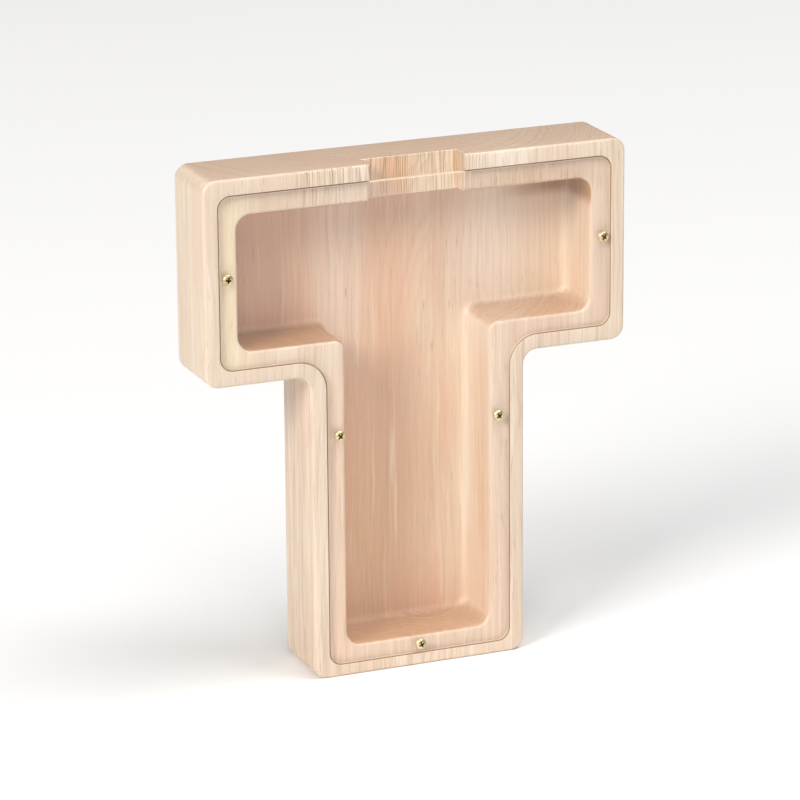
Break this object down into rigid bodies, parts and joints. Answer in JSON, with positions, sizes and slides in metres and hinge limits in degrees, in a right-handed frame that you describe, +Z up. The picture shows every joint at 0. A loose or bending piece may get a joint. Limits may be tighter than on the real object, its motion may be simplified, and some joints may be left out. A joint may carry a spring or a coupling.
{
  "type": "money box",
  "caption": "Free-standing wooden money box in the form of a capital T, with a clear screwed-on front cover and a coin notch in its top.",
  "frame": {"origin": "middle of the flat resting face under the stem, halfway through the wooden block's depth", "axes": "+Z up along the stem, +X to the right of someone facing the clear front, +Y from the clear front to the back"},
  "size_m": [0.1536, 0.0287, 0.18],
  "materials": {
    "wood": "bare, finely sanded pale wood, grain upright",
    "clear_acrylic": "clear cast acrylic sheet, polished faces",
    "brass": "bright brass"
  },
  "bodies": {
    "block": {"body": "wood"},
    "cover": {"front_cover": "clear_acrylic"},
    "arm_left_screw": {"screw_arm_left": "brass"},
    "arm_right_screw": {"screw_arm_right": "brass"},
    "stem_left_screw": {"screw_stem_left": "brass"},
    "stem_right_screw": {"screw_stem_right": "brass"},
    "foot_screw": {"screw_foot": "brass"}
  },
  "joints": [
    {"name": "cover_lift", "type": "slide", "parent": "block", "child": "cover", "axis": [0, -1, 0], "range_m": [0, 0.03]},
    {"name": "arm_left_screw_out", "type": "slide", "parent": "cover", "child": "arm_left_screw", "axis": [0, -1, 0], "range_m": [0, 0.012]},
    {"name": "arm_right_screw_out", "type": "slide", "parent": "cover", "child": "arm_right_screw", "axis": [0, -1, 0], "range_m": [0, 0.012]},
    {"name": "stem_left_screw_out", "type": "slide", "parent": "cover", "child": "stem_left_screw", "axis": [0, -1, 0], "range_m": [0, 0.012]},
    {"name": "stem_right_screw_out", "type": "slide", "parent": "cover", "child": "stem_right_screw", "axis": [0, -1, 0], "range_m": [0, 0.012]},
    {"name": "foot_screw_out", "type": "slide", "parent": "cover", "child": "foot_screw", "axis": [0, -1, 0], "range_m": [0, 0.012]}
  ]
}
